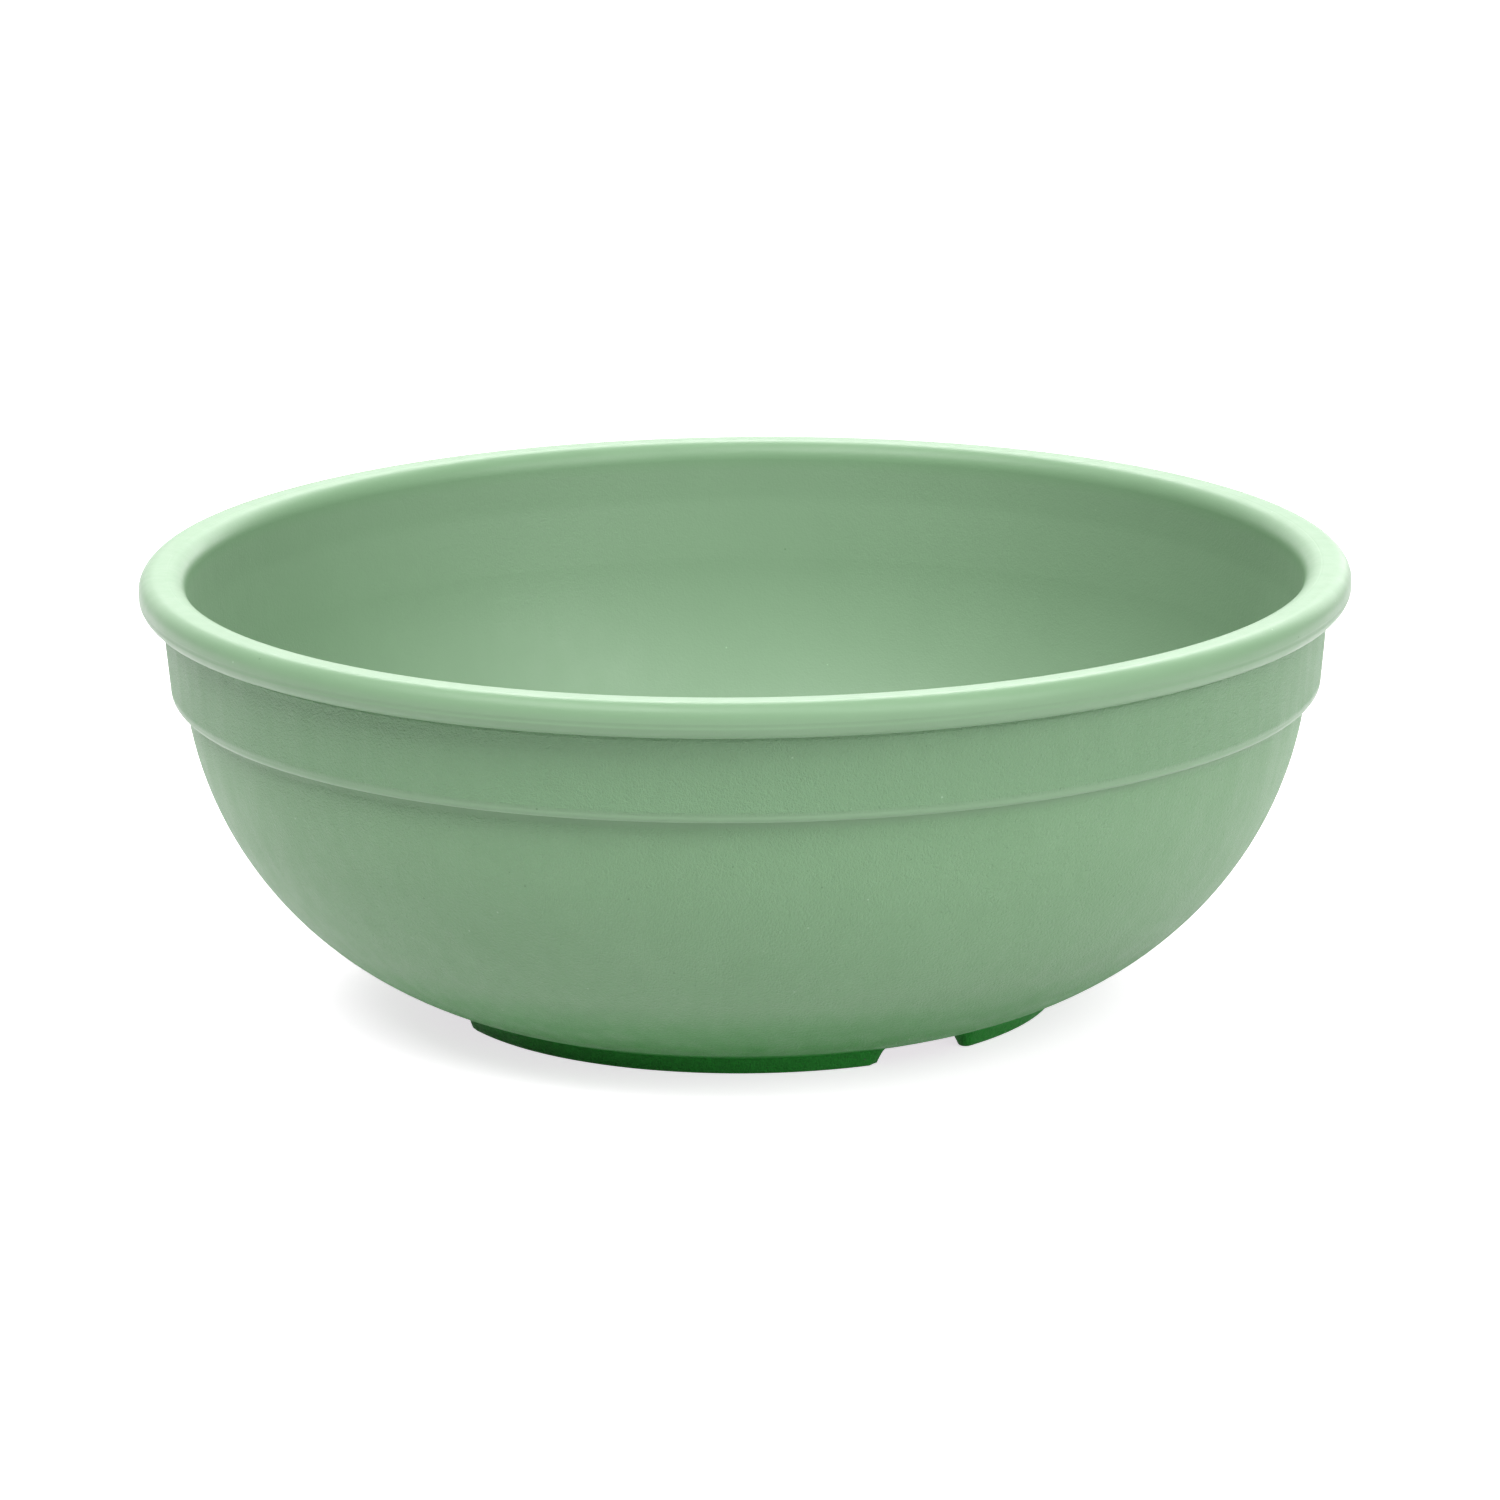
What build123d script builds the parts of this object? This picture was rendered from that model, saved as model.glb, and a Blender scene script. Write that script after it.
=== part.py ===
import os
from math import asin, degrees, radians, sqrt, tan

from build123d import *

# Small round bowl, moulded in one piece from solid plastic. A thick bead runs round the mouth, a
# drafted band hangs below it and ends in a ledge, and a round belly runs down to a low foot ring
# that drain slots cut into segments. Millimetres, +Z up, origin on the axis at the surface that
# the foot ring stands on. The section below is drawn with X as the radius and Y as the height.

# Overall
rim_diameter = 146.0
bowl_height = 53.6

# Bead round the mouth, which stands out past the band
bead_height = 4.3
bead_overhang = 2.7
bead_inner_round = 2.4
bead_outer_round = 2.0
bead_lower_round = 2.1
bead_root_round = 0.5

# Drafted band under the bead, its wall at the mouth, and the ledge where it ends
band_height = 10.5
band_wall = 2.8
band_draft = 5.4
band_edge_round = 0.75
ledge_width = 1.6
ledge_root_round = 0.4

# Belly: how far it bows out from the straight line between the ledge and the foot, and its wall
belly_bow = 6.9
belly_wall = 2.0

# Inside, the wall behind the band leans in over this height to meet the thinner belly wall
lean_height = 5.0
lean_round = 12.0

# Floor, and the recess under it inside the foot ring
floor_thickness = 1.8
floor_round = 20.0
foot_recess = 2.1

# Foot ring, and the tuck that hides the belly's end behind the ring's outer face
foot_diameter = 74.9
foot_width = 2.0
foot_draft = 15.0
foot_edge_round = 0.5
foot_tuck = 0.12

# Drain slots: two pairs, mirrored about an axis that is turned this far from straight ahead
slot_width = 12.0
slot_spacing = 107.2
slot_turn = -19.8

# Mark left by the mould's gate, in the middle of the underside
gate_dish_diameter = 9.0
gate_dish_depth = 0.4
gate_stub_diameter = 2.4
gate_stub_height = 0.7

# The most of a face that a round takes: where two like rounds share it, and where a large round
# shares it with a small one
equal_share = 0.49
large_share = 0.8
small_share = 0.19

# Heights and radii of the section's corners
rim_radius = rim_diameter / 2
bead_base = bowl_height - bead_height
band_top_radius = rim_radius - bead_overhang
mouth_radius = band_top_radius - band_wall
ledge_level = bead_base - band_height
band_end_radius = band_top_radius - band_height * tan(radians(band_draft))
belly_top_radius = band_end_radius - ledge_width
foot_radius = foot_diameter / 2
belly_end_radius = foot_radius + foot_recess * tan(radians(foot_draft)) - foot_tuck
floor_level = foot_recess + floor_thickness

under_corner = (belly_end_radius, foot_recess)
belly_top = (belly_top_radius, ledge_level)
belly = SagittaArc(under_corner, belly_top, -belly_bow)
hollow_radius = belly.radius - belly_wall


def hollow_point(level):
    # Point on the belly's inner arc, which shares the outer arc's centre
    centre = belly.arc_center
    return (centre.X + sqrt(hollow_radius**2 - (centre.Y - level) ** 2), level)


knee = hollow_point(ledge_level)
floor_corner = hollow_point(floor_level)
hollow_middle = hollow_point((ledge_level + floor_level) / 2)
lean_top_level = ledge_level + lean_height
lean_top_radius = mouth_radius - (bowl_height - lean_top_level) * tan(radians(band_draft))

band_end = (band_end_radius, ledge_level)
band_top = (band_top_radius, bead_base)
bead_lower = (rim_radius, bead_base)
bead_outer = (rim_radius, bowl_height)
bead_inner = (mouth_radius, bowl_height)
lean_top = (lean_top_radius, lean_top_level)

bead_face = equal_share * min(bead_height, bead_overhang + band_wall)
ledge_face = equal_share * ledge_width
rounds = [
    (bead_outer, min(bead_outer_round, bead_face)),
    (bead_inner, min(bead_inner_round, equal_share * (bead_overhang + band_wall))),
    (bead_lower, min(bead_lower_round, bead_face, large_share * bead_overhang)),
    (band_top, min(bead_root_round, small_share * bead_overhang)),
    (band_end, min(band_edge_round, ledge_face)),
    (belly_top, min(ledge_root_round, ledge_face)),
    (lean_top, lean_round),
    (knee, lean_round),
    (floor_corner, floor_round),
]

# Bowl: the section turned about the axis, then the foot ring's segments and the gate mark
with BuildPart() as bowl:
    with BuildSketch(Plane.XZ) as section:
        with BuildLine():
            Polyline((0, floor_level), (0, foot_recess), under_corner)
            add(belly)
            Polyline(belly_top, band_end, band_top, bead_lower, bead_outer, bead_inner, lean_top, knee)
            ThreePointArc(knee, hollow_middle, floor_corner)
            Line(floor_corner, (0, floor_level))
        make_face()
        for corner, radius in rounds:
            fillet(section.vertices().sort_by_distance(corner)[0], radius)
    revolve(axis=Axis.Z)

    # Foot ring segments, with full round ends, run up into the floor
    ring_radius = foot_radius - foot_width / 2
    end_angle = degrees(asin((slot_width + foot_width) / 2 / ring_radius))
    front = slot_turn - 90
    with BuildSketch(Plane.XY):
        for middle, spacing in ((front, slot_spacing), (front + 90, 180 - slot_spacing)):
            sweep_angle = spacing - 2 * end_angle
            with PolarLocations(0, 2):
                SlotArc(CenterArc((0, 0), ring_radius, middle - sweep_angle / 2, sweep_angle), foot_width)
    extrude(amount=foot_recess + floor_thickness / 2, taper=-foot_draft)
    fillet(bowl.edges().group_by(Axis.Z)[0], min(foot_edge_round, equal_share * foot_width))

    # Gate mark: a shallow dish with the stub of the gate standing in it
    with BuildSketch(Plane.XY.offset(foot_recess)):
        Circle(gate_dish_diameter / 2)
    extrude(amount=gate_dish_depth, mode=Mode.SUBTRACT)
    with BuildSketch(Plane.XY.offset(foot_recess + gate_dish_depth)):
        Circle(gate_stub_diameter / 2)
    extrude(amount=-gate_stub_height)

bowl.part.label = "bowl"
os.makedirs("parts", exist_ok=True)
export_step(bowl.part, "parts/bowl.step")

print(f"belly arc radius {belly.radius:.2f} mm, centred {belly.arc_center.Y:.2f} mm up")
print(f"bowl volume {bowl.part.volume / 1000:.1f} cm3")
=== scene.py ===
from math import asin, cos, degrees, pi, radians, sin, sqrt, tan

import bpy
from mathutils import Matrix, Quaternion, Vector
from mathutils.geometry import interpolate_bezier, intersect_point_line


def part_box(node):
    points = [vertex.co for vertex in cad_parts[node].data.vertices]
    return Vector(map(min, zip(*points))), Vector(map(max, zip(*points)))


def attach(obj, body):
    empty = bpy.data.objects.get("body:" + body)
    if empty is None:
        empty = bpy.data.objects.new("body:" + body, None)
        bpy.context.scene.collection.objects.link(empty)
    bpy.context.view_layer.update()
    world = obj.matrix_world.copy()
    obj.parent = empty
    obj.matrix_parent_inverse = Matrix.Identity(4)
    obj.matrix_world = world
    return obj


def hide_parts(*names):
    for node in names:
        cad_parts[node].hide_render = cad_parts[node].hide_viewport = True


# Small moulded bowl: one turned piece of sage green plastic, with a satin rim, finely grained
# walls and a low foot ring that four slots cut into segments. The bowl's sizes are in
# millimetres, the studio's in metres.

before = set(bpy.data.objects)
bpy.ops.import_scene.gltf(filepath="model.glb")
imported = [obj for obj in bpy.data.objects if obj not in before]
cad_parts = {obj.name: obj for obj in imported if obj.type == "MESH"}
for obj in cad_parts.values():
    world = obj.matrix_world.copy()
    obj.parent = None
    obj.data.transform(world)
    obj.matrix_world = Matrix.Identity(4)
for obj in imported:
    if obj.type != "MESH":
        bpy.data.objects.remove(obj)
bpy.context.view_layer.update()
bowlLow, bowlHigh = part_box("bowl")
mm = 0.001
print("frame loaded:", len(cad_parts), "node")


cameraSizes = {
    "lens": 207.4,
    "sensor": 36,
    "distance": 1.0472,
    "elevation": 14.138,                     # degrees, as the roll is
    "aim": (0.0004, 0.0, 0.0300),
    "roll": -0.576,
    "clip": (0.05, 50),
}


def makeCamera(sizes):
    data = bpy.data.cameras.new("productCamera")
    data.lens = sizes["lens"]
    data.sensor_width = sizes["sensor"]
    data.clip_start, data.clip_end = sizes["clip"]
    camera = bpy.data.objects.new("productCamera", data)
    bpy.context.scene.collection.objects.link(camera)
    aim = Vector(sizes["aim"])
    tilt = radians(sizes["elevation"])
    place = Vector((0, -cos(tilt), sin(tilt))) * sizes["distance"]
    camera.location = Vector((0, 0, aim.z)) + place
    look = (aim - camera.location).to_track_quat("-Z", "Y")
    camera.rotation_mode = "QUATERNION"
    camera.rotation_quaternion = look @ Quaternion((0, 0, 1), radians(sizes["roll"]))
    bpy.context.scene.camera = camera


makeCamera(cameraSizes)
print("camera placed")


def addNode(tree, kind, inputs=None, **settings):
    # inputs: socket name or number to a value or to the socket that feeds it
    node = tree.nodes.new(kind)
    for name, value in settings.items():
        setattr(node, name, value)
    for name, value in (inputs or {}).items():
        feed(tree, node.inputs[name], value)
    return node


def feed(tree, socket, value):
    if isinstance(value, bpy.types.NodeSocket):
        tree.links.new(value, socket)
    else:
        socket.default_value = value


def maths(tree, operation, *terms):
    node = addNode(tree, "ShaderNodeMath", operation=operation)
    for socket, term in zip(node.inputs, terms):
        feed(tree, socket, term)
    return node.outputs[0]


def addSocket(tree, name, kind, default=None, out=False):
    way = "OUTPUT" if out else "INPUT"
    socket = tree.interface.new_socket(name=name, in_out=way, socket_type="NodeSocket" + kind)
    if default is not None:
        socket.default_value = default


def setCurve(node, points):
    curve = node.mapping.curves[0]
    while len(curve.points) < len(points):
        curve.points.new(0.5, 0.5)
    for point, place in zip(curve.points, points):
        point.location = place
        point.handle_type = "VECTOR"
    node.mapping.update()


def mouldGrainGroup():
    # Fine pebbled texture that the mould leaves, as a height
    group = bpy.data.node_groups.new("mouldGrain", "ShaderNodeTree")
    addSocket(group, "Vector", "Vector")
    addSocket(group, "Grain size", "Float", 0.4)
    addSocket(group, "Fine share", "Float", 0.35)
    addSocket(group, "Height", "Float", out=True)
    source = addNode(group, "NodeGroupInput")
    perMetre = maths(group, "DIVIDE", 1 / mm, source.outputs["Grain size"])
    coarse = addNode(group, "ShaderNodeTexNoise", {
        "Vector": source.outputs["Vector"], "Scale": perMetre, "Detail": 1.5, "Roughness": 0.5})
    fineScale = maths(group, "MULTIPLY", perMetre, 2.3)      # pebbles less than half as wide
    fine = addNode(group, "ShaderNodeTexVoronoi", {
        "Vector": source.outputs["Vector"], "Scale": fineScale, "Smoothness": 0.6},
        feature="SMOOTH_F1")
    share = source.outputs["Fine share"]
    rest = maths(group, "SUBTRACT", 1, share)
    height = maths(group, "ADD", maths(group, "MULTIPLY", coarse.outputs[0], rest),
                   maths(group, "MULTIPLY", fine.outputs["Distance"], share))
    result = addNode(group, "NodeGroupOutput")
    feed(group, result.inputs["Height"], height)
    return group


def flowMottleGroup():
    # Slow changes over the moulding, where the melt flowed and cooled a little unevenly
    group = bpy.data.node_groups.new("flowMottle", "ShaderNodeTree")
    addSocket(group, "Vector", "Vector")
    addSocket(group, "Patch size", "Float", 14.0)
    addSocket(group, "Patches", "Float", out=True)
    addSocket(group, "Streaks", "Float", out=True)
    source = addNode(group, "NodeGroupInput")
    perMetre = maths(group, "DIVIDE", 1 / mm, source.outputs["Patch size"])
    patches = addNode(group, "ShaderNodeTexNoise", {
        "Vector": source.outputs["Vector"], "Scale": perMetre, "Detail": 3, "Roughness": 0.55})
    stretched = addNode(group, "ShaderNodeMapping", {        # upright, about six times as long
        "Vector": source.outputs["Vector"], "Scale": (1, 1, 0.16)})
    streakScale = maths(group, "MULTIPLY", perMetre, 6)      # six to a patch
    streaks = addNode(group, "ShaderNodeTexNoise", {
        "Vector": stretched.outputs[0], "Scale": streakScale, "Detail": 2, "Roughness": 0.5})
    result = addNode(group, "NodeGroupOutput")
    feed(group, result.inputs["Patches"], patches.outputs[0])
    feed(group, result.inputs["Streaks"], streaks.outputs[0])
    return group


def fleckGroup():
    # Sparse flecks of pigment, one to a cell and in few of the cells: a pale mask and a dark one
    group = bpy.data.node_groups.new("fleck", "ShaderNodeTree")
    addSocket(group, "Vector", "Vector")
    addSocket(group, "Spacing", "Float", 1.6)
    addSocket(group, "Fleck size", "Float", 0.2)
    addSocket(group, "Share", "Float", 0.05)
    addSocket(group, "Pale", "Float", out=True)
    addSocket(group, "Dark", "Float", out=True)
    source = addNode(group, "NodeGroupInput")
    perMetre = maths(group, "DIVIDE", 1 / mm, source.outputs["Spacing"])
    cells = addNode(group, "ShaderNodeTexVoronoi", {
        "Vector": source.outputs["Vector"], "Scale": perMetre}, feature="F1")
    edge = maths(group, "DIVIDE", source.outputs["Fleck size"], source.outputs["Spacing"])
    middle = maths(group, "MULTIPLY", edge, 0.4)             # within which it has its full color
    near = addNode(group, "ShaderNodeMapRange", {
        "Value": cells.outputs["Distance"], "From Min": edge, "From Max": middle},
        interpolation_type="SMOOTHSTEP")
    draw = addNode(group, "ShaderNodeSeparateColor", {0: cells.outputs["Color"]})
    share = source.outputs["Share"]
    few = maths(group, "LESS_THAN", draw.outputs["Red"], share)
    others = maths(group, "GREATER_THAN", draw.outputs["Red"], maths(group, "SUBTRACT", 1, share))
    result = addNode(group, "NodeGroupOutput")
    feed(group, result.inputs["Pale"], maths(group, "MULTIPLY", near.outputs[0], few))
    feed(group, result.inputs["Dark"], maths(group, "MULTIPLY", near.outputs[0], others))
    return group


mouldGrain = mouldGrainGroup()
flowMottle = flowMottleGroup()
fleck = fleckGroup()


outsideFinish = {
    "colors": ((0.175, 0.326, 0.172, 1), (0.196, 0.352, 0.193, 1)),
    "paintedShadeTones": (                         # height from, height to, color: painted shade and light by height
        # painted shade: the band and bead a little darker than the belly
        (37.8, 39.2, (0.172, 0.315, 0.171, 1)),
        # painted shade: the lower belly darker and deeper green towards the foot, where the bowl's
        # shadow falls
        (14.0, 6.5, (0.088, 0.285, 0.089, 1)),
        (7.4, 5.0, (0.032, 0.248, 0.033, 1)),
        # painted shade and light: the foot ring's wall dark as in shade, but a brighter deep green
        # as if lit through the plastic
        (4.5, 2.2, (0.044, 0.345, 0.056, 1)),
    ),
    "specular": 0.30,
    "roughness": (0.46, 0.56),
    "grainSize": 0.36,
    "grainDepth": 0.26,
    "fleckSpacing": 1.7,
    "fleckSize": 0.17,
    "fleckShare": 0.07,
}
insideFinish = {
    "colors": ((0.204, 0.321, 0.201, 1), (0.225, 0.348, 0.222, 1)),
    "paintedShadeTones": (),
    "specular": 0.30,
    "roughness": (0.40, 0.50),
    "grainSize": 0.50,
    "grainDepth": 0.032,
    "fleckSpacing": 2.6,
    "fleckSize": 0.15,
    "fleckShare": 0.06,
}
footFinish = {**outsideFinish, "specular": 0.06}
rimFinish = {
    # painted sheen: paler and less green than the walls' colours, in place of the satin's brighter
    # reflection
    "colors": ((0.184, 0.318, 0.180, 1), (0.205, 0.343, 0.202, 1)),
    "roughness": (0.36, 0.42),
    "grainDepth": 0.012,
}
plasticSizes = {
    "paleFleck": (0.290, 0.450, 0.285, 1),
    "darkFleck": (0.120, 0.240, 0.118, 1),
    "patchSize": 14,
    "fineShare": 0.35,                       # of the grain's height
    "streakRange": (0.3, 0.7),               # over which the roughness goes from low to high
}


def plasticMaterial(name, wall, rim, sizes):
    # One plastic: its own wall finish, going over to the rim's satin, whose colours are a painted
    # sheen, where the mesh says so
    material = bpy.data.materials.new(name)
    material.use_nodes = True
    tree = material.node_tree
    tree.nodes.clear()
    place = addNode(tree, "ShaderNodeTexCoord").outputs["Object"]
    satinAndSheen = addNode(tree, "ShaderNodeAttribute", attribute_name="satinAndSheen").outputs["Fac"]

    def grouped(group, values):
        node = addNode(tree, "ShaderNodeGroup", {"Vector": place, **values}, node_tree=group)
        return node.outputs

    def blended(share, first, second):
        mix = addNode(tree, "ShaderNodeMix", {0: share, 6: first, 7: second}, data_type="RGBA")
        return mix.outputs[2]

    mottle = grouped(flowMottle, {"Patch size": sizes["patchSize"]})
    grain = grouped(mouldGrain, {
        "Grain size": wall["grainSize"], "Fine share": sizes["fineShare"]})
    flecks = grouped(fleck, {
        "Spacing": wall["fleckSpacing"], "Fleck size": wall["fleckSize"],
        "Share": wall["fleckShare"]})

    tone = blended(mottle["Patches"], *wall["colors"])
    height = addNode(tree, "ShaderNodeSeparateXYZ", {0: place}).outputs["Z"]
    # painted shade and light by height, laid over the plastic's tone
    for start, end, color in wall["paintedShadeTones"]:
        paintedShade = addNode(tree, "ShaderNodeMapRange", {
            "Value": height, "From Min": start * mm, "From Max": end * mm},
            interpolation_type="SMOOTHSTEP")
        tone = blended(paintedShade.outputs[0], tone, color)
    # painted sheen: the satin parts take the rim's paler colours
    tone = blended(satinAndSheen, tone, blended(mottle["Patches"], *rim["colors"]))
    tone = blended(flecks["Pale"], tone, sizes["paleFleck"])
    tone = blended(flecks["Dark"], tone, sizes["darkFleck"])

    roughness = []
    lowStreak, highStreak = sizes["streakRange"]
    for finish in (wall, rim):
        smoothest, roughest = finish["roughness"]
        ranged = addNode(tree, "ShaderNodeMapRange", {
            "Value": mottle["Streaks"], "From Min": lowStreak, "From Max": highStreak,
            "To Min": smoothest, "To Max": roughest})
        roughness.append(ranged.outputs[0])
    rough = addNode(tree, "ShaderNodeMix", {0: satinAndSheen, 2: roughness[0], 3: roughness[1]})
    depth = addNode(tree, "ShaderNodeMapRange", {
        "Value": satinAndSheen, "To Min": wall["grainDepth"], "To Max": rim["grainDepth"]})
    relief = maths(tree, "MULTIPLY", grain["Height"], depth.outputs[0])
    bump = addNode(tree, "ShaderNodeBump", {"Strength": 1.0, "Distance": mm, "Height": relief})
    shader = addNode(tree, "ShaderNodeBsdfPrincipled", {
        "Base Color": tone, "Roughness": rough.outputs[0], "Normal": bump.outputs[0],
        "Specular IOR Level": wall["specular"]})
    output = addNode(tree, "ShaderNodeOutputMaterial")
    feed(tree, output.inputs["Surface"], shader.outputs[0])
    return material


outsidePlastic = plasticMaterial("outsidePlastic", outsideFinish, rimFinish, plasticSizes)
insidePlastic = plasticMaterial("insidePlastic", insideFinish, rimFinish, plasticSizes)
footPlastic = plasticMaterial("footPlastic", footFinish, rimFinish, plasticSizes)
print("plastic made")


bowlSizes = {
    "rimRadius": (bowlHigh.x - bowlLow.x) / 2 / mm,
    "height": bowlHigh.z / mm,
    "beadHeight": 4.3,
    "beadOverhang": 2.7,
    "beadRounds": (2.4, 2.0, 1.8, 0.15),     # inner, outer, lower, root
    "crownLine": (69.5, 0.20, 0.030),        # stripper ring's witness line: radius, width, depth
    "partingLine": (51.00, 0.46, 0.12),      # height, width, depth
    "rootLine": (0.32, 0.56, 0.2),           # under the bead: drop, width, depth
    "bandHeight": 10.5,
    "bandWall": 2.8,
    "bandDraft": 5.4,
    "bandEdgeRound": 0.75,
    "ledgeWidth": 1.6,
    "ledgeRootRound": 0.4,
    "bellyBow": 7.0,
    "bellyWall": 2.0,
    "leanHeight": 7.5,
    "leanRound": 22.0,
    "floorThickness": 1.8,
    "floorRound": 20.0,
    "footRecess": 2.1,
    "footRadius": 37.45,
    "footWidth": 2.0,
    "footDraft": 15.0,
    "footEdgeRound": 0.5,
    "footEdgeStep": 15,                      # degrees
    "footTuck": 0.12,                        # of the belly's end behind the ring's outer face
    "slotWidth": 12.0,
    "slotSpacing": 107.2,
    "slotTurn": -19.8,
    "footClearance": 0.2,                    # past the ring's sides, to where its close rows go
    "gateDish": (4.5, 0.4),                  # radius, depth
    "gateStub": (1.2, 0.7),                  # radius, height
    "gateRounds": (0.12, 0.12, 0.12, 0.2),
    "crownDrop": 1.0,                        # of the bead's upper part, for the finishes
    "bandSkin": 0.02,                        # past which a row under the bead belongs to it
    # reach of the rim's satin and its painted sheen colours
    "satinAndSheenInside": (3.2, 1.2),               # drop from the crown at which it ends, fade
    "satinAndSheenOutside": (0.2, 0.2),              # drop under the bead at which it ends, fade
    "satinAndSheenLedge": (0.2, 1.1, 0.5),           # height over the ledge, reach, fade: a smoother strip whose rim colours paint a pale sheen line
    "stationStep": 1.6,                      # degrees round the axis
    "fineStep": 0.28,                        # within the fine reach of a ring segment's end
    "fineReach": 2.5,
    "fineLead": 0.2,                         # so that the fine steps begin a little early
    "mergeDistance": 0.001,                  # of points at the axis and the seam
}


def clamped(value):
    return min(max(value, 0), 1)


def lineRun(start, end, rows):
    return [Vector(start).lerp(Vector(end), i / rows) for i in range(rows + 1)]


def arcRun(centre, radius, start, end, rows):
    # Rows along an arc about centre, between the heights of two points on it
    first = asin((start[1] - centre[1]) / radius)
    last = asin((end[1] - centre[1]) / radius)
    angles = [first + (last - first) * i / rows for i in range(rows + 1)]
    return [Vector((centre[0] + radius * cos(a), centre[1] + radius * sin(a))) for a in angles]


def trimmed(run, length):
    # The run without this much of its start
    for i in range(len(run) - 1):
        step = (run[i + 1] - run[i]).length
        if length < step:
            return [run[i].lerp(run[i + 1], length / step)] + run[i + 1:]
        length -= step
    return run[-2:]


joinSizes = {
    "leastBend": 0.01,                       # length of arc under which a corner stays as it is
    "guard": 0.12,                           # from a bend to a row that keeps the next face flat
    "smallRound": 0.3,
    "stepAngle": 7.5,                        # degrees from row to row along a bend
    "smallStepAngle": 18,                    # and along a small one
    "leastSteps": 4,
}


def joinRuns(runs, rounds, sizes):
    # Runs end to end, with each corner between two of them rounded
    section = list(runs[0])
    for run, radius in zip(runs[1:], rounds):
        turn = (section[-1] - section[-2]).angle(run[1] - run[0])
        if radius * turn < sizes["leastBend"]:
            section += run[1:]
            continue
        cut = radius * tan(turn / 2)
        section = trimmed(section[::-1], cut)[::-1]
        run = trimmed(run, cut)
        guard = min(sizes["guard"], cut / 3)
        back = (section[-1] - section[-2]).normalized()
        ahead = (run[1] - run[0]).normalized()
        if (section[-1] - section[-2]).length > 2 * guard:
            section.insert(-1, section[-1] - back * guard)
        if (run[1] - run[0]).length > 2 * guard:
            run.insert(1, run[0] + ahead * guard)
        reach = radius * tan(turn / 4) * 4 / 3     # of the handles that make the curve an arc
        isSmall = radius <= sizes["smallRound"]
        stepAngle = sizes["smallStepAngle"] if isSmall else sizes["stepAngle"]
        steps = max(sizes["leastSteps"], round(degrees(turn) / stepAngle))
        bend = interpolate_bezier(section[-1], section[-1] + back * reach,
                                  run[0] - ahead * reach, run[0], steps + 1)
        section += [Vector(point[:2]) for point in bend[1:-1]] + run
    return section


def scored(section, place, width, depth):
    # The section with a fine groove cut into its surface at its point nearest to place
    place = Vector(place)
    nearest = []
    for i in range(len(section) - 1):
        point, share = intersect_point_line(place, section[i], section[i + 1])
        point = section[i].lerp(section[i + 1], clamped(share))
        nearest.append(((place - point).length, i, point))
    i, point = min(nearest)[1:]
    ahead = (section[i + 1] - section[i]).normalized()
    before = [point] + section[i::-1]
    after = [point] + section[i + 1:]
    bottom = point + Vector((ahead.y, -ahead.x)) * depth
    lips = [trimmed(run, width / 2)[0] for run in (before, after)]
    sides = [trimmed(run, width * 0.7) for run in (before, after)]     # from just past the lips
    return sides[0][::-1] + [lips[0], bottom, lips[1]] + sides[1]


def arcCentre(start, end, bow):
    # Centre and radius of the arc that stands this far out from the line between two points
    chord = Vector(end) - Vector(start)
    radius = (chord.length ** 2 / 4 + bow ** 2) / (2 * bow)
    outward = Vector((chord.y, -chord.x)).normalized()
    middle = (Vector(start) + Vector(end)) / 2
    return middle - outward * (radius - bow), radius


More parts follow.
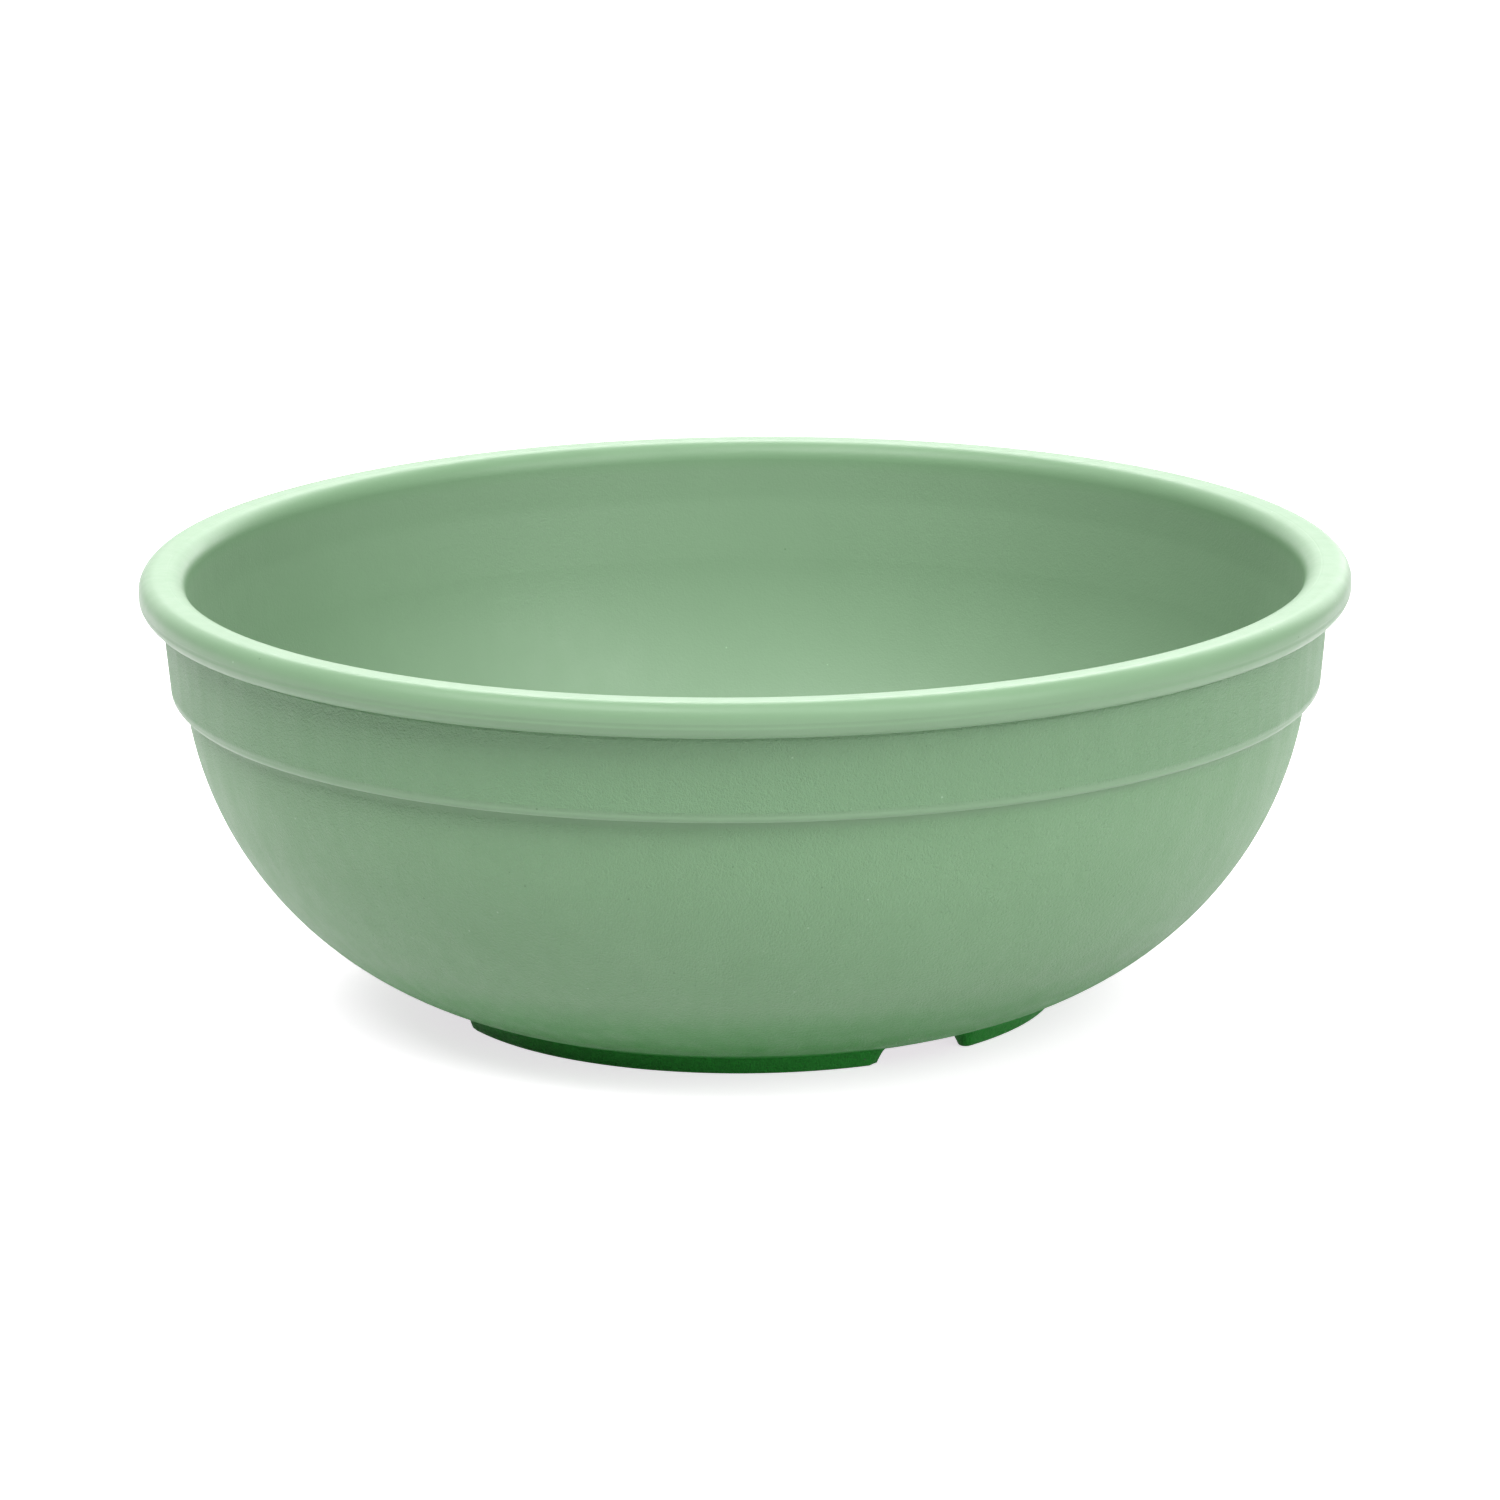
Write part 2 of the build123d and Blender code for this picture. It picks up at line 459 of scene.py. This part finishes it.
def bowlSection(s):
    rim = s["rimRadius"]
    top = s["height"]
    beadBase = top - s["beadHeight"]
    bandTop = rim - s["beadOverhang"]
    mouth = bandTop - s["bandWall"]
    ledge = beadBase - s["bandHeight"]
    draft = tan(radians(s["bandDraft"]))
    bandEnd = bandTop - s["bandHeight"] * draft
    bellyTop = (bandEnd - s["ledgeWidth"], ledge)
    ringSpread = s["footRecess"] * tan(radians(s["footDraft"]))
    bellyEnd = (s["footRadius"] + ringSpread - s["footTuck"], s["footRecess"])
    centre, outer = arcCentre(bellyEnd, bellyTop, s["bellyBow"])
    inner = outer - s["bellyWall"]
    floor = s["footRecess"] + s["floorThickness"]
    floorCorner = (centre.x + sqrt(inner ** 2 - (centre.y - floor) ** 2), floor)
    knee = (centre.x + sqrt(inner ** 2 - (centre.y - ledge) ** 2), ledge)
    leanTop = (mouth - (top - ledge - s["leanHeight"]) * draft, ledge + s["leanHeight"])
    clearance = s["footClearance"]
    ringInside = (s["footRadius"] - s["footWidth"] - ringSpread - clearance, s["footRecess"])
    ringOutside = s["footRadius"] + ringSpread + clearance
    ringTop = (ringOutside, centre.y - sqrt(outer ** 2 - (ringOutside - centre.x) ** 2))
    dishRadius, dishDepth = s["gateDish"]
    stubRadius, stubHeight = s["gateStub"]
    dish = s["footRecess"] + dishDepth
    innerRound, outerRound, lowerRound, rootRound = s["beadRounds"]
    runs = [                                 # each with its number of rows
        lineRun((0, floor), floorCorner, 14),
        arcRun(centre, inner, floorCorner, knee, 42),
        lineRun(knee, leanTop, 3),
        lineRun(leanTop, (mouth, top), 6),
        lineRun((mouth, top), (rim, top), 2),
        lineRun((rim, top), (rim, beadBase), 1),
        lineRun((rim, beadBase), (bandTop, beadBase), 1),
        lineRun((bandTop, beadBase), (bandEnd, ledge), 8),
        lineRun((bandEnd, ledge), bellyTop, 2),
        arcRun(centre, outer, bellyTop, ringTop, 36),
        arcRun(centre, outer, ringTop, bellyEnd, 18),
        lineRun(bellyEnd, ringInside, 34),
        lineRun(ringInside, (dishRadius, s["footRecess"]), 8),
        lineRun((dishRadius, s["footRecess"]), (dishRadius, dish), 2),
        lineRun((dishRadius, dish), (stubRadius, dish), 2),
        lineRun((stubRadius, dish), (stubRadius, dish - stubHeight), 2),
        lineRun((stubRadius, dish - stubHeight), (0, dish - stubHeight), 2),
    ]
    rounds = [s["floorRound"], s["leanRound"], s["leanRound"], innerRound, outerRound, lowerRound,
              rootRound, s["bandEdgeRound"], s["ledgeRootRound"], 0, 0, 0, *s["gateRounds"]]
    section = joinRuns(runs, rounds, joinSizes)
    crownRadius, crownWidth, crownDepth = s["crownLine"]
    partingHeight, partingWidth, partingDepth = s["partingLine"]
    rootDrop, rootWidth, rootDepth = s["rootLine"]
    section = scored(section, (crownRadius, top), crownWidth, crownDepth)
    section = scored(section, (bandTop, beadBase - rootDrop), rootWidth, rootDepth)
    return scored(section, (rim, partingHeight), partingWidth, partingDepth)


def turnStations(s):
    # Angles at which the section is set round the axis, close together at the ring segments' ends
    ring = s["footRadius"] - s["footWidth"] / 2
    half = degrees(asin(s["slotWidth"] / 2 / ring))
    stops = []
    for slot in (90 - s["slotSpacing"] / 2, 90 + s["slotSpacing"] / 2):
        stops += [slot - half, slot + half]
    stops = [stop + turn for turn in (0, 180) for stop in stops]
    angles = []
    angle = 0.0
    while angle < 360:
        angles.append(angle)
        near = min(abs(angle + s["fineLead"] - stop) for stop in stops)
        angle += s["fineStep"] if near < s["fineReach"] else s["stationStep"]
    return [radians(a) for a in angles] + [2 * pi]


def seedMesh(section, stations, s):
    # The section's rows, then one point for each station with its angle as X
    mesh = bpy.data.meshes.new("bowl")
    points = [(p.x * mm, 0, p.y * mm) for p in section] + [(angle, 0, 0) for angle in stations]
    mesh.from_pydata(points, [], [])
    crownLine = s["crownLine"][0]
    crown = max(i for i, p in enumerate(section)
                if s["height"] - p.y < s["crownDrop"] and p.x < crownLine)
    bandTop = s["rimRadius"] - s["beadOverhang"]
    ledge = s["height"] - s["beadHeight"] - s["bandHeight"]
    insideEnd, insideFade = s["satinAndSheenInside"]
    outsideEnd, outsideFade = s["satinAndSheenOutside"]
    ledgeRise, ledgeReach, ledgeFade = s["satinAndSheenLedge"]
    satinAndSheen = mesh.attributes.new("satinAndSheen", "FLOAT", "POINT")
    inner = mesh.attributes.new("inner", "FLOAT", "POINT")
    for i, p in enumerate(section):
        fromTop = s["height"] - p.y
        isInner = i <= crown
        inner.data[i].value = 1 if isInner else 0
        if isInner:
            satinAndSheen.data[i].value = clamped((insideEnd - fromTop) / insideFade)
            continue
        onBead = fromTop < s["crownDrop"] or p.x > bandTop + s["bandSkin"]
        beadSatinAndSheen = (s["beadHeight"] + outsideEnd - fromTop) / outsideFade if onBead else 0
        ledgeSatinAndSheen = (ledgeReach - abs(p.y - ledge - ledgeRise)) / ledgeFade
        satinAndSheen.data[i].value = clamped(max(beadSatinAndSheen, ledgeSatinAndSheen))
    return mesh


def turnedBowlTree(ringCurve):
    tree = bpy.data.node_groups.new("turnedBowl", "GeometryNodeTree")
    addSocket(tree, "Geometry", "Geometry")
    for name, default in (("Rows", 100), ("Columns", 200)):
        addSocket(tree, name, "Int", default)
    for name, default in (("Ring radius", 0.0365), ("Ring half width", 0.001),
                          ("Wall start", -0.0005), ("Wall end", 0.0005),
                          ("Floor middle", 0.003), ("Slot angle", 0.61),
                          ("Segment end", 0.2), ("Slot axis", 1.23),
                          ("Merge distance", 0.000001)):
        addSocket(tree, name, "Float", default)
    for name in ("Outside", "Inside", "Foot"):
        addSocket(tree, name, "Material")
    addSocket(tree, "Geometry", "Geometry", out=True)
    source = addNode(tree, "NodeGroupInput").outputs
    rows = source["Rows"]

    # One grid vertex for each row at each station. The half keeps rounding from moving a vertex
    # to the station before.
    grid = addNode(tree, "GeometryNodeMeshGrid", {
        "Vertices X": source["Columns"], "Vertices Y": rows})
    index = addNode(tree, "GeometryNodeInputIndex").outputs[0]
    row = maths(tree, "FLOORED_MODULO", index, rows)
    column = maths(tree, "FLOOR", maths(tree, "DIVIDE", maths(tree, "ADD", index, 0.5), rows))
    place = addNode(tree, "GeometryNodeInputPosition").outputs[0]

    def sampled(value, at, kind):
        node = addNode(tree, "GeometryNodeSampleIndex", data_type=kind, domain="POINT")
        feed(tree, node.inputs["Geometry"], source["Geometry"])
        feed(tree, node.inputs["Value"], value)
        feed(tree, node.inputs["Index"], at)
        return node.outputs[0]

    sectionPoint = addNode(tree, "ShaderNodeSeparateXYZ", {
        0: sampled(place, row, "FLOAT_VECTOR")})
    station = maths(tree, "ADD", column, rows)
    stationPoint = addNode(tree, "ShaderNodeSeparateXYZ", {
        0: sampled(place, station, "FLOAT_VECTOR")})
    radius = sectionPoint.outputs["X"]
    height = sectionPoint.outputs["Z"]
    angle = stationPoint.outputs["X"]

    # Foot ring: the underside comes down to the ground in segments with round ends
    fromAxis = maths(tree, "SUBTRACT", angle, source["Slot axis"])
    folded = maths(tree, "PINGPONG", fromAxis, pi / 2)
    fromSlot = maths(tree, "ABSOLUTE", maths(tree, "SUBTRACT", folded, source["Slot angle"]))
    pastEnd = maths(tree, "SUBTRACT", source["Segment end"], fromSlot)
    pastEnd = maths(tree, "MAXIMUM", maths(tree, "MULTIPLY", pastEnd, source["Ring radius"]), 0)
    across = maths(tree, "SUBTRACT", radius, source["Ring radius"])
    fromMiddle = maths(tree, "SQRT", maths(tree, "ADD", maths(tree, "MULTIPLY", pastEnd, pastEnd),
                                           maths(tree, "MULTIPLY", across, across)))
    wall = addNode(tree, "ShaderNodeMapRange", {
        "Value": maths(tree, "SUBTRACT", fromMiddle, source["Ring half width"]),
        "From Min": source["Wall start"], "From Max": source["Wall end"]})
    raised = addNode(tree, "ShaderNodeFloatCurve", {"Value": wall.outputs[0]})
    setCurve(raised, ringCurve)
    above = maths(tree, "GREATER_THAN", height, source["Floor middle"])
    height = maths(tree, "MULTIPLY", height, maths(tree, "MAXIMUM", raised.outputs[0], above))

    x = maths(tree, "MULTIPLY", radius, maths(tree, "SINE", angle))
    y = maths(tree, "MULTIPLY", radius, maths(tree, "MULTIPLY", maths(tree, "COSINE", angle), -1))
    spun = addNode(tree, "ShaderNodeCombineXYZ", {"X": x, "Y": y, "Z": height})
    moved = addNode(tree, "GeometryNodeSetPosition", {
        "Geometry": grid.outputs["Mesh"], "Position": spun.outputs[0]})
    marked = moved.outputs[0]
    for name in ("satinAndSheen", "inner"):
        named = addNode(tree, "GeometryNodeInputNamedAttribute", {"Name": name}, data_type="FLOAT")
        stored = addNode(tree, "GeometryNodeStoreNamedAttribute", {
            "Geometry": marked, "Name": name}, data_type="FLOAT", domain="POINT")
        feed(tree, stored.inputs["Value"], sampled(named.outputs[0], row, "FLOAT"))
        marked = stored.outputs[0]
    closed = addNode(tree, "GeometryNodeMergeByDistance", {
        "Geometry": marked, "Distance": source["Merge distance"]})
    outward = addNode(tree, "GeometryNodeFlipFaces", {"Mesh": closed.outputs[0]})
    smooth = addNode(tree, "GeometryNodeSetShadeSmooth", {"Geometry": outward.outputs[0]})
    real = addNode(tree, "GeometryNodeRealizeInstances", {"Geometry": smooth.outputs[0]})

    # Finishes: outside, inside and the recess underneath, and the foot ring with its slots
    outside = addNode(tree, "GeometryNodeSetMaterial", {
        "Geometry": real.outputs[0], "Material": source["Outside"]})
    inner = addNode(tree, "GeometryNodeInputNamedAttribute", {"Name": "inner"}, data_type="FLOAT")
    inner = maths(tree, "GREATER_THAN", inner.outputs[0], 0.75)      # every corner of the face
    distance = addNode(tree, "ShaderNodeVectorMath", {0: place}, operation="LENGTH")
    ringInner = maths(tree, "SUBTRACT", source["Ring radius"], source["Ring half width"])
    underneath = maths(tree, "LESS_THAN", distance.outputs["Value"], ringInner)
    isInner = maths(tree, "MAXIMUM", underneath, inner)
    inside = addNode(tree, "GeometryNodeSetMaterial", {
        "Geometry": outside.outputs[0], "Selection": isInner, "Material": source["Inside"]})
    low = addNode(tree, "ShaderNodeSeparateXYZ", {0: place}).outputs["Z"]
    isLow = maths(tree, "LESS_THAN", low, source["Floor middle"])
    foot = addNode(tree, "GeometryNodeSetMaterial", {
        "Geometry": inside.outputs[0], "Material": source["Foot"],
        "Selection": maths(tree, "GREATER_THAN", isLow, underneath)})
    result = addNode(tree, "NodeGroupOutput")
    feed(tree, result.inputs[0], foot.outputs[0])
    return tree


def setInputs(modifier, values):
    for item in modifier.node_group.interface.items_tree:
        if item.item_type == "SOCKET" and item.in_out == "INPUT" and item.name in values:
            modifier[item.identifier] = values[item.name]


def makeBowl(s):
    section = bowlSection(s)
    stations = turnStations(s)
    seed = bpy.data.objects.new("bowlSeed", seedMesh(section, stations, s))
    bpy.context.scene.collection.objects.link(seed)
    ring = s["footRadius"] - s["footWidth"] / 2
    edge = s["footEdgeRound"]
    spread = s["footRecess"] * tan(radians(s["footDraft"]))
    ringWall = []                            # the ring's profile: its rounded edge, then its draft
    for angle in range(0, 90, s["footEdgeStep"]):
        across = edge * sin(radians(angle))
        rise = edge * (1 - cos(radians(angle)))
        ringWall.append((across / (edge + spread), rise / s["footRecess"]))
    ringWall.append((1, 1))
    modifier = seed.modifiers.new("turnedBowl", "NODES")
    modifier.node_group = turnedBowlTree(ringWall)
    setInputs(modifier, {
        "Rows": len(section),
        "Columns": len(stations),
        "Ring radius": ring * mm,
        "Ring half width": s["footWidth"] / 2 * mm,
        "Wall start": -edge * mm,
        "Wall end": spread * mm,
        "Floor middle": (s["footRecess"] + s["floorThickness"] / 2) * mm,
        "Slot angle": radians(90 - s["slotSpacing"] / 2),
        "Segment end": asin((s["slotWidth"] + s["footWidth"]) / 2 / ring),
        "Slot axis": radians(s["slotTurn"] + 90),
        "Merge distance": s["mergeDistance"] * mm,
        "Outside": outsidePlastic,
        "Inside": insidePlastic,
        "Foot": footPlastic,
    })
    graph = bpy.context.evaluated_depsgraph_get()
    mesh = bpy.data.meshes.new_from_object(seed.evaluated_get(graph))
    bpy.data.objects.remove(seed)
    mesh.name = "bowlMoulding"
    while mesh.materials[0] is None:
        mesh.materials.pop(index=0)          # the grid's own empty slot
    bowl = bpy.data.objects.new("bowlMoulding", mesh)
    bpy.context.scene.collection.objects.link(bowl)
    faces = len(mesh.polygons)
    print("bowl turned:", len(section), "rows,", len(stations), "stations,", faces, "faces")
    return bowl


bowl = makeBowl(bowlSizes)
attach(bowl, "root")
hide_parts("bowl")


def seenRays(tree):
    # 1 for the rays that meet the white background: seen, mirrored or through something clear
    rays = addNode(tree, "ShaderNodeLightPath")
    seen = maths(tree, "MAXIMUM", rays.outputs["Is Camera Ray"], rays.outputs["Is Glossy Ray"])
    return maths(tree, "MAXIMUM", seen, rays.outputs["Is Transmission Ray"])


floorSizes = {
    "size": 8.0,
    "color": (0.77, 0.73, 0.77, 1),
    "glow": 0.72,
    "tint": (1, 0.955, 1, 1),
}


def whiteFloor(sizes):
    material = bpy.data.materials.new("studioFloor")
    material.use_nodes = True
    tree = material.node_tree
    tree.nodes.clear()
    diffuse = addNode(tree, "ShaderNodeBsdfDiffuse", {"Color": sizes["color"]})
    glow = addNode(tree, "ShaderNodeEmission", {
        "Color": sizes["tint"], "Strength": maths(tree, "MULTIPLY", seenRays(tree), sizes["glow"])})
    both = addNode(tree, "ShaderNodeAddShader", {0: diffuse.outputs[0], 1: glow.outputs[0]})
    output = addNode(tree, "ShaderNodeOutputMaterial")
    feed(tree, output.inputs["Surface"], both.outputs[0])
    half = sizes["size"] / 2
    mesh = bpy.data.meshes.new("studioFloor")
    mesh.from_pydata([(-half, -half, 0), (half, -half, 0), (half, half, 0), (-half, half, 0)],
                     [], [(0, 1, 2, 3)])
    mesh.materials.append(material)
    floor = bpy.data.objects.new("studioFloor", mesh)
    bpy.context.scene.collection.objects.link(floor)


lampDistance = 2.2                           # metres from the axis
lampSizes = {
    # turn round the bowl and rise in degrees, width and height in metres, power in watts
    "topFrontLeft": (-55, 60, (1.60, 1.18), 33.0),
    "topFront": (0, 62, (1.78, 0.94), 16.8),
    "top": (0, 90, (1.60, 1.60), 6.4),
    "frontRight": (42, 38, (1.35, 0.94), 20.2),
    "frontRightLow": (45, 17, (1.43, 0.70), 9.1),
    "backHigh": (180, 46, (1.18, 0.78), 24.1),
    "backMiddle": (180, 28, (1.02, 0.70), 4.6),
    "backWide": (180, 26, (2.05, 1.78), 7.0),
    "backRight": (152, 24, (1.10, 1.60), 14.2),
    "backLeft": (-152, 24, (1.10, 1.60), 4.1),
}
worldSizes = {"color": (1, 1, 1, 1), "strength": 0.0}      # strength: as it lights the bowl


def addLamps(sizes):
    for name, (turn, rise, size, power) in sizes.items():
        data = bpy.data.lights.new(name + "Softbox", "AREA")
        data.shape = "RECTANGLE"
        data.size, data.size_y = size
        data.energy = power
        lamp = bpy.data.objects.new(name + "Softbox", data)
        turn = radians(turn)
        rise = radians(rise)
        way = Vector((sin(turn) * cos(rise), -cos(turn) * cos(rise), sin(rise)))
        lamp.location = way * lampDistance
        lamp.rotation_mode = "QUATERNION"
        lamp.rotation_quaternion = (-way).to_track_quat("-Z", "Y")
        lamp.visible_camera = False
        bpy.context.scene.collection.objects.link(lamp)


def makeWorld(sizes):
    world = bpy.data.worlds.new("studioWorld")
    world.use_nodes = True
    tree = world.node_tree
    tree.nodes.clear()
    strength = addNode(tree, "ShaderNodeMapRange", {
        "Value": seenRays(tree), "To Min": sizes["strength"], "To Max": 1.0})
    glow = addNode(tree, "ShaderNodeBackground", {
        "Color": sizes["color"], "Strength": strength.outputs[0]})
    output = addNode(tree, "ShaderNodeOutputWorld")
    feed(tree, output.inputs["Surface"], glow.outputs[0])
    bpy.context.scene.world = world


whiteFloor(floorSizes)
addLamps(lampSizes)
makeWorld(worldSizes)
bpy.context.scene.view_settings.view_transform = "Standard"
print("studio lit")
